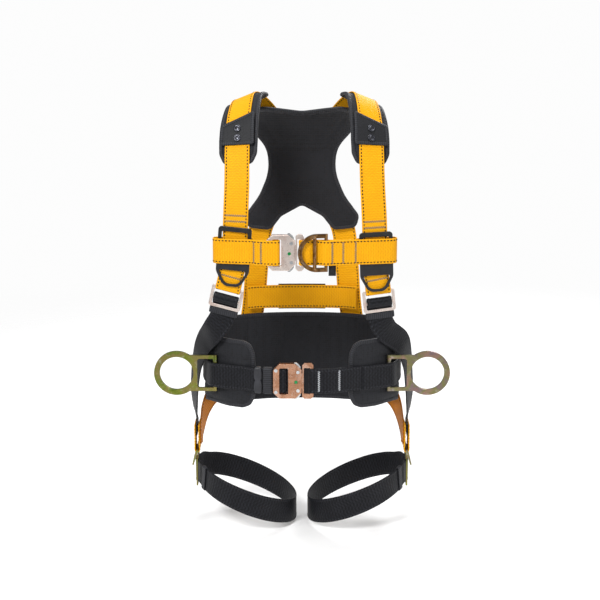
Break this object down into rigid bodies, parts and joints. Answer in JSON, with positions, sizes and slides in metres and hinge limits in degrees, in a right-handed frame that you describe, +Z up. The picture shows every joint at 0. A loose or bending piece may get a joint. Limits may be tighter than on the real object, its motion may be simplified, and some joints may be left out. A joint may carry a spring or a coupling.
{
  "type": "full-body safety harness",
  "caption": "Full-body work-positioning harness with padded shoulders and waist belt, side, chest and dorsal attachment rings and quick-connect buckles.",
  "frame": {"origin": "the wearer's vertical axis at mid height of the waist belt", "axes": "+Z up the wearer's body, -Y out of the chest, +X to the wearer's left"},
  "size_m": [0.5376, 0.288, 0.8074],
  "materials": {
    "black_padding": "padded mesh fabric",
    "black_webbing": "woven polyester",
    "bright_steel": "polished",
    "bronze_zinc": "bronze zinc plated",
    "elastic": "woven elastic",
    "green_indicator": "moulded",
    "gunmetal": "blackened",
    "moulded_black": "moulded",
    "rose_zinc": "rose zinc plated",
    "yellow_webbing": "woven polyester",
    "yellow_zinc": "yellow zinc plated"
  },
  "bodies": {
    "harness": {"back_cross_cover": "black_webbing", "back_cross_strap": "yellow_webbing", "belt_keepers": "elastic", "belt_webbing": "black_webbing", "chest_indicator": "green_indicator", "chest_lever_springs": "bright_steel", "chest_receiver_back": "rose_zinc", "chest_receiver_front": "rose_zinc", "chest_rivets": "bright_steel", "chest_strap_right": "yellow_webbing", "dorsal_pad": "black_padding", "dorsal_plate": "moulded_black", "hip_strap_left": "yellow_webbing", "hip_strap_right": "yellow_webbing", "leg_buckle_insert_left": "yellow_zinc", "leg_buckle_insert_right": "yellow_zinc", "leg_keeper_left": "elastic", "leg_keeper_right": "elastic", "leg_loop_left": "yellow_webbing", "leg_loop_right": "yellow_webbing", "leg_strap_left": "black_webbing", "leg_strap_right": "black_webbing", "pad_flap_left": "black_padding", "pad_flap_right": "black_padding", "parking_slide_left": "moulded_black", "parking_slide_right": "moulded_black", "press_studs": "gunmetal", "shoulder_pad_left": "black_padding", "shoulder_pad_right": "black_padding", "shoulder_strap_left": "yellow_webbing", "shoulder_strap_right": "yellow_webbing", "torso_adjuster_left": "rose_zinc", "torso_adjuster_right": "rose_zinc", "torso_keeper_left": "elastic", "torso_keeper_right": "elastic", "torso_strap_left": "black_webbing", "torso_strap_right": "black_webbing", "waist_indicator": "green_indicator", "waist_lever_springs": "bright_steel", "waist_pad": "black_padding", "waist_receiver_back": "rose_zinc", "waist_receiver_front": "rose_zinc", "waist_rivets": "bright_steel"},
    "side_ring_right": {"side_ring_right": "yellow_zinc"},
    "side_ring_left": {"side_ring_left": "yellow_zinc"},
    "chest_tongue": {"chest_tongue": "rose_zinc", "chest_strap_left": "yellow_webbing", "strap_tag": "moulded_black"},
    "chest_ring": {"chest_ring": "bronze_zinc"},
    "waist_tongue": {"waist_tongue": "rose_zinc", "belt_webbing_front": "black_webbing"},
    "chest_lever_upper": {"chest_lever_upper": "bright_steel"},
    "chest_lever_lower": {"chest_lever_lower": "bright_steel"},
    "waist_lever_upper": {"waist_lever_upper": "bright_steel"},
    "waist_lever_lower": {"waist_lever_lower": "bright_steel"},
    "dorsal_ring": {"dorsal_ring": "yellow_zinc"},
    "adjuster_bar_right": {"torso_adjuster_bar_right": "bright_steel"},
    "adjuster_bar_left": {"torso_adjuster_bar_left": "bright_steel"},
    "leg_plate_right": {"leg_buckle_frame_right": "yellow_zinc"},
    "leg_plate_left": {"leg_buckle_frame_left": "yellow_zinc"}
  },
  "joints": [
    {"name": "side_ring_right_swing", "type": "hinge", "parent": "harness", "child": "side_ring_right", "pos_m": [-0.15779, -0.07499, 0.002], "axis": [0, 0, 1], "range_deg": [0, 80]},
    {"name": "side_ring_left_swing", "type": "hinge", "parent": "harness", "child": "side_ring_left", "pos_m": [0.15779, -0.07499, 0.002], "axis": [0, 0, -1], "range_deg": [0, 80]},
    {"name": "chest_tongue_slide", "type": "slide", "parent": "harness", "child": "chest_tongue", "axis": [1, 0, 0], "range_m": [0, 0.028], "deforming": ["chest_strap_left"]},
    {"name": "chest_ring_swing", "type": "hinge", "parent": "chest_tongue", "child": "chest_ring", "pos_m": [0.042, -0.1237, 0.233], "axis": [0, 0, 1], "range_deg": [0, 70]},
    {"name": "waist_tongue_slide", "type": "slide", "parent": "harness", "child": "waist_tongue", "axis": [1, 0, 0], "range_m": [0, 0.028], "deforming": ["belt_webbing_front"]},
    {"name": "chest_lever_upper_press", "type": "slide", "parent": "harness", "child": "chest_lever_upper", "axis": [0, 0, -1], "range_m": [0, 0.0022], "stiffness_N_per_m": 600, "springref_m": -0.002, "deforming": ["chest_lever_springs"]},
    {"name": "chest_lever_lower_press", "type": "slide", "parent": "harness", "child": "chest_lever_lower", "axis": [0, 0, 1], "range_m": [0, 0.0022], "stiffness_N_per_m": 600, "springref_m": -0.002},
    {"name": "waist_lever_upper_press", "type": "slide", "parent": "harness", "child": "waist_lever_upper", "axis": [0, 0, -1], "range_m": [0, 0.0022], "stiffness_N_per_m": 600, "springref_m": -0.002, "deforming": ["waist_lever_springs"]},
    {"name": "waist_lever_lower_press", "type": "slide", "parent": "harness", "child": "waist_lever_lower", "axis": [0, 0, 1], "range_m": [0, 0.0022], "stiffness_N_per_m": 600, "springref_m": -0.002},
    {"name": "dorsal_ring_swing", "type": "hinge", "parent": "harness", "child": "dorsal_ring", "pos_m": [0, 0.1138, 0.373], "axis": [1, 0, 0], "range_deg": [0, 105]},
    {"name": "adjuster_bar_right_slide", "type": "slide", "parent": "harness", "child": "adjuster_bar_right", "axis": [0.2225, -0.0332, 0.9744], "range_m": [0, 0.0025]},
    {"name": "adjuster_bar_left_slide", "type": "slide", "parent": "harness", "child": "adjuster_bar_left", "axis": [-0.1034, -0.0155, 0.9945], "range_m": [0, 0.0025]},
    {"name": "leg_plate_right_swing", "type": "hinge", "parent": "harness", "child": "leg_plate_right", "pos_m": [-0.197, 0.006, -0.165], "axis": [0, 1, 0], "range_deg": [0, 35]},
    {"name": "leg_plate_left_swing", "type": "hinge", "parent": "harness", "child": "leg_plate_left", "pos_m": [0.197, 0.006, -0.165], "axis": [0, -1, 0], "range_deg": [0, 35]}
  ]
}
